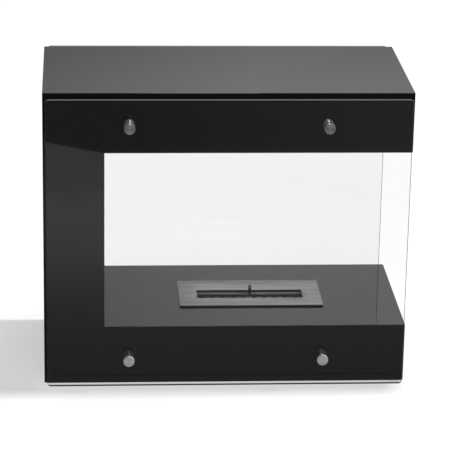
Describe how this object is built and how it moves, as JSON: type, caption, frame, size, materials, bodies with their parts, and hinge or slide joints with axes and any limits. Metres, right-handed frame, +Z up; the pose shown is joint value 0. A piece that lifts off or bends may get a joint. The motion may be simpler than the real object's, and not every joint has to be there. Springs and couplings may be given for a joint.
{
  "type": "bioethanol fireplace",
  "caption": "Free-standing bioethanol fireplace: gloss black C-shaped body open at one side, clear panes on standoffs front and back, brushed burner with slot and sliding regulator.",
  "frame": {"origin": "on the floor under the middle of the body, at the underside of the feet", "axes": "+X to the right along the width (the open side), +Y to the back, +Z up"},
  "size_m": [0.6, 0.354, 0.503],
  "materials": {
    "black_lacquer": "high gloss black lacquer",
    "clear_glass": "clear toughened glass, ground edges",
    "foot_rubber": "matt",
    "frame_steel": "primed steel tube",
    "insulation_board": "fibre board",
    "well_steel": "black heat-resistant paint",
    "standoff_steel": "turned and brushed stainless steel",
    "thread_steel": "plain threaded steel",
    "clear_washer": "translucent soft plastic",
    "burner_steel": "brushed along its length",
    "handle_black": "black heat-resistant coating",
    "ceramic_wool": "soft fibre"
  },
  "bodies": {
    "casing": {"top_panel": "black_lacquer", "beam_end_panel": "black_lacquer", "beam_soffit": "black_lacquer", "column_inner_panel": "black_lacquer", "hearth_panel": "black_lacquer", "base_end_panel": "black_lacquer", "bottom_panel": "black_lacquer", "column_side_panel": "black_lacquer", "front_panel": "black_lacquer", "rear_panel": "black_lacquer", "rubber_feet": "foot_rubber", "beam_frame_arms": "frame_steel", "base_frame_rails": "frame_steel", "column_frame_posts": "frame_steel", "frame_cross_ties": "frame_steel", "beam_insulation_board": "insulation_board", "burner_well": "well_steel", "front_glass_pane": "clear_glass", "rear_glass_pane": "clear_glass", "front_standoff_barrels": "standoff_steel", "front_inner_washers": "clear_washer", "front_outer_washers": "clear_washer", "front_standoff_caps": "standoff_steel", "front_standoff_studs": "thread_steel", "front_standoff_nuts": "thread_steel", "rear_standoff_barrels": "standoff_steel", "rear_inner_washers": "clear_washer", "rear_outer_washers": "clear_washer", "rear_standoff_caps": "standoff_steel", "rear_standoff_studs": "thread_steel", "rear_standoff_nuts": "thread_steel"},
    "burner": {"burner_top_plate": "burner_steel", "fuel_box": "burner_steel", "ceramic_wool_block": "ceramic_wool", "wool_cover": "burner_steel", "slider_guide_left": "burner_steel", "slider_guide_right": "burner_steel"},
    "slider": {"slider_plate": "burner_steel", "slider_handle": "handle_black"}
  },
  "joints": [
    {"name": "burner_lift", "type": "slide", "parent": "casing", "child": "burner", "axis": [0, 0, 1], "range_m": [0, 0.12]},
    {"name": "regulator_slide", "type": "slide", "parent": "burner", "child": "slider", "axis": [0, -1, 0], "range_m": [0, 0.035]}
  ]
}
